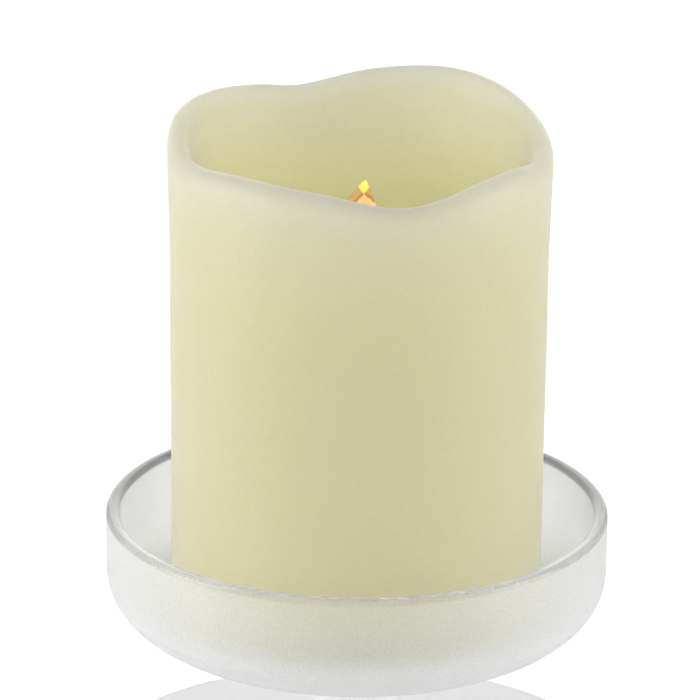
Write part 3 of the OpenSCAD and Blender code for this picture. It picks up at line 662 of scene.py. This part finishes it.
def materials():
    """One material for each of the record's slots."""
    off_white = ((0.72, 0.7, 0.63, 1), (0.78, 0.765, 0.7, 1))
    return {
        "frosted_glass": frosted_glass(),
        "wax": wax(),
        "flame_plastic": flame(),
        "lamp_resin": lamp_resin(),
        "housing_plastic": moulded("housing_grain", *off_white, 0.45),
        "board_green": board_green(),
        "black_plastic": moulded("black_grain", grey(0.012), grey(0.025), 0.5),
        "capacitor_tan": moulded("capacitor_body", (0.4, 0.27, 0.13, 1), (0.5, 0.36, 0.2, 1), 0.35),
        "screw_steel": metal("screw_plating", grey(0.5), grey(0.66), 0.3, (1, 1, 3)),
        "contact_metal": metal("contact_plating", (0.58, 0.56, 0.5, 1), (0.74, 0.72, 0.68, 1), 0.26,
                               (0.2, 3, 1)),
        "cell_jacket": cell_jacket(),
        "switch_metal": metal("switch_sheet", grey(0.45), grey(0.6), 0.34, (3, 0.3, 1)),
        "black_wire": moulded("black_sleeve", grey(0.01), grey(0.03), 0.42, grain=800),
        "red_wire": moulded("red_sleeve", (0.3, 0.012, 0.01, 1), (0.42, 0.02, 0.015, 1), 0.42,
                            grain=800),
    }


def dress(obj, skin):
    obj.data.materials.clear()
    obj.data.materials.append(skin)


def node_slots(record):
    """Slot name of every node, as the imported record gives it."""
    return {part["node"]: part["material_slot"] for part in record["subparts"]}


# Scene

def kind_of_ray(tree, *names):
    """1 for a ray of one of the named kinds, and 0 for all others."""
    path = tree.nodes.new("ShaderNodeLightPath")
    share = path.outputs[names[0]]
    for name in names[1:]:
        share = maths(tree, "MAXIMUM", share, path.outputs[name])
    return share


def floor_material():
    """White to the camera, to glass and to gloss, but still a surface that takes the shadow."""
    material = bpy.data.materials.new("floor_white")
    material.use_nodes = True
    tree = material.node_tree
    tree.nodes.clear()
    glow = tree.nodes.new("ShaderNodeEmission")
    clear = kind_of_ray(tree, *CLEAR_RAYS)
    seen = maths(tree, "MULTIPLY", kind_of_ray(tree, CLEAR_RAYS[0]), FLOOR_GLOW_SEEN)
    more = maths(tree, "MULTIPLY_ADD", clear, FLOOR_GLOW_CLEAR, seen)
    strength = maths(tree, "ADD", more, FLOOR_GLOW)
    tree.links.new(strength, glow.inputs["Strength"])
    diffuse = tree.nodes.new("ShaderNodeBsdfDiffuse")
    diffuse.inputs["Color"].default_value = grey(FLOOR_TONE)
    both = tree.nodes.new("ShaderNodeAddShader")
    out = tree.nodes.new("ShaderNodeOutputMaterial")
    tree.links.new(diffuse.outputs[0], both.inputs[0])
    tree.links.new(glow.outputs[0], both.inputs[1])
    tree.links.new(both.outputs[0], out.inputs["Surface"])
    return material


def make_floor():
    size, drop = FLOOR_SIZE, -FLOOR_DROP
    points = [(-size, -size, drop), (size, -size, drop), (size, size, drop), (-size, size, drop)]
    floor = add_mesh("floor", points, [(0, 1, 2, 3)])
    dress(floor, floor_material())


def make_world():
    """A pale room, brighter at eye level than overhead, that reads as plain white behind the object."""
    world = bpy.data.worlds.new("studio")
    bpy.context.scene.world = world
    world.use_nodes = True
    tree = world.node_tree
    place = tree.nodes.new("ShaderNodeTexCoord")
    split = tree.nodes.new("ShaderNodeSeparateXYZ")
    dome = tree.nodes.new("ShaderNodeMapRange")
    dome.inputs["To Min"].default_value, dome.inputs["To Max"].default_value = WORLD_LEVELS
    tree.links.new(place.outputs["Generated"], split.inputs[0])
    tree.links.new(split.outputs[2], dome.inputs["Value"])
    level = tree.nodes.new("ShaderNodeMapRange")
    clear = kind_of_ray(tree, *CLEAR_RAYS)
    tree.links.new(clear, level.inputs["Value"])
    tree.links.new(dome.outputs[0], level.inputs["To Min"])
    level.inputs["To Max"].default_value = 1.0
    tree.links.new(level.outputs[0], tree.nodes["Background"].inputs["Strength"])
    tree.nodes["Background"].inputs["Color"].default_value = grey(1)


def add_lamp(name, place, size, power):
    light = bpy.data.lights.new(name, "AREA")
    light.shape = "DISK"
    light.size = size
    light.energy = power
    lamp = bpy.data.objects.new(name, light)
    lamp.location = place
    lamp.rotation_euler = (Vector(LAMP_AIM) - Vector(place)).to_track_quat("-Z", "Y").to_euler()
    bpy.context.scene.collection.objects.link(lamp)


def make_camera():
    e, roll = math.radians(CAMERA_ELEVATION), math.radians(CAMERA_ROLL)
    forward = Vector((0, math.cos(e), -math.sin(e)))
    right, up = Vector((1, 0, 0)), Vector((0, math.sin(e), math.cos(e)))
    turned_right = right * math.cos(roll) + up * math.sin(roll)
    turned_up = -right * math.sin(roll) + up * math.cos(roll)
    data = bpy.data.cameras.new("photo_camera")
    data.lens = CAMERA_LENS
    data.sensor_width = CAMERA_SENSOR
    camera = bpy.data.objects.new("photo_camera", data)
    axes = Matrix((turned_right, turned_up, -forward)).transposed().to_4x4()
    place = Vector(CAMERA_TARGET) - forward * CAMERA_DISTANCE
    camera.matrix_world = Matrix.Translation(place) @ axes
    bpy.context.scene.collection.objects.link(camera)
    bpy.context.scene.camera = camera


def main():
    skins = materials()
    for node, slot in node_slots(frame["record"]).items():
        dress(frame["nodes"][node], skins[slot])

    shown = [(lathe("dish_glass", dish_profile(), DISH_Z), "glass_dish", "frosted_glass", "holder"),
             (lathe("stem_glass", stem_profile(), STEM_Z), "glass_stem", "frosted_glass", "holder"),
             (lathe("foot_glass", foot_profile(), 0), "glass_foot", "frosted_glass", "holder"),
             (make_wax(), "wax_pillar", "wax", "candle"),
             (make_flame(), "flame_lens", "flame_plastic", "candle")]
    for piece, node, slot, body in shown:
        dress(piece, skins[slot])
        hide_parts(node)
        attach(piece, body)

    make_floor()
    make_world()
    for lamp in LAMPS:
        add_lamp(*lamp)
    make_camera()
    bpy.context.scene.view_settings.view_transform = "Standard"


main()
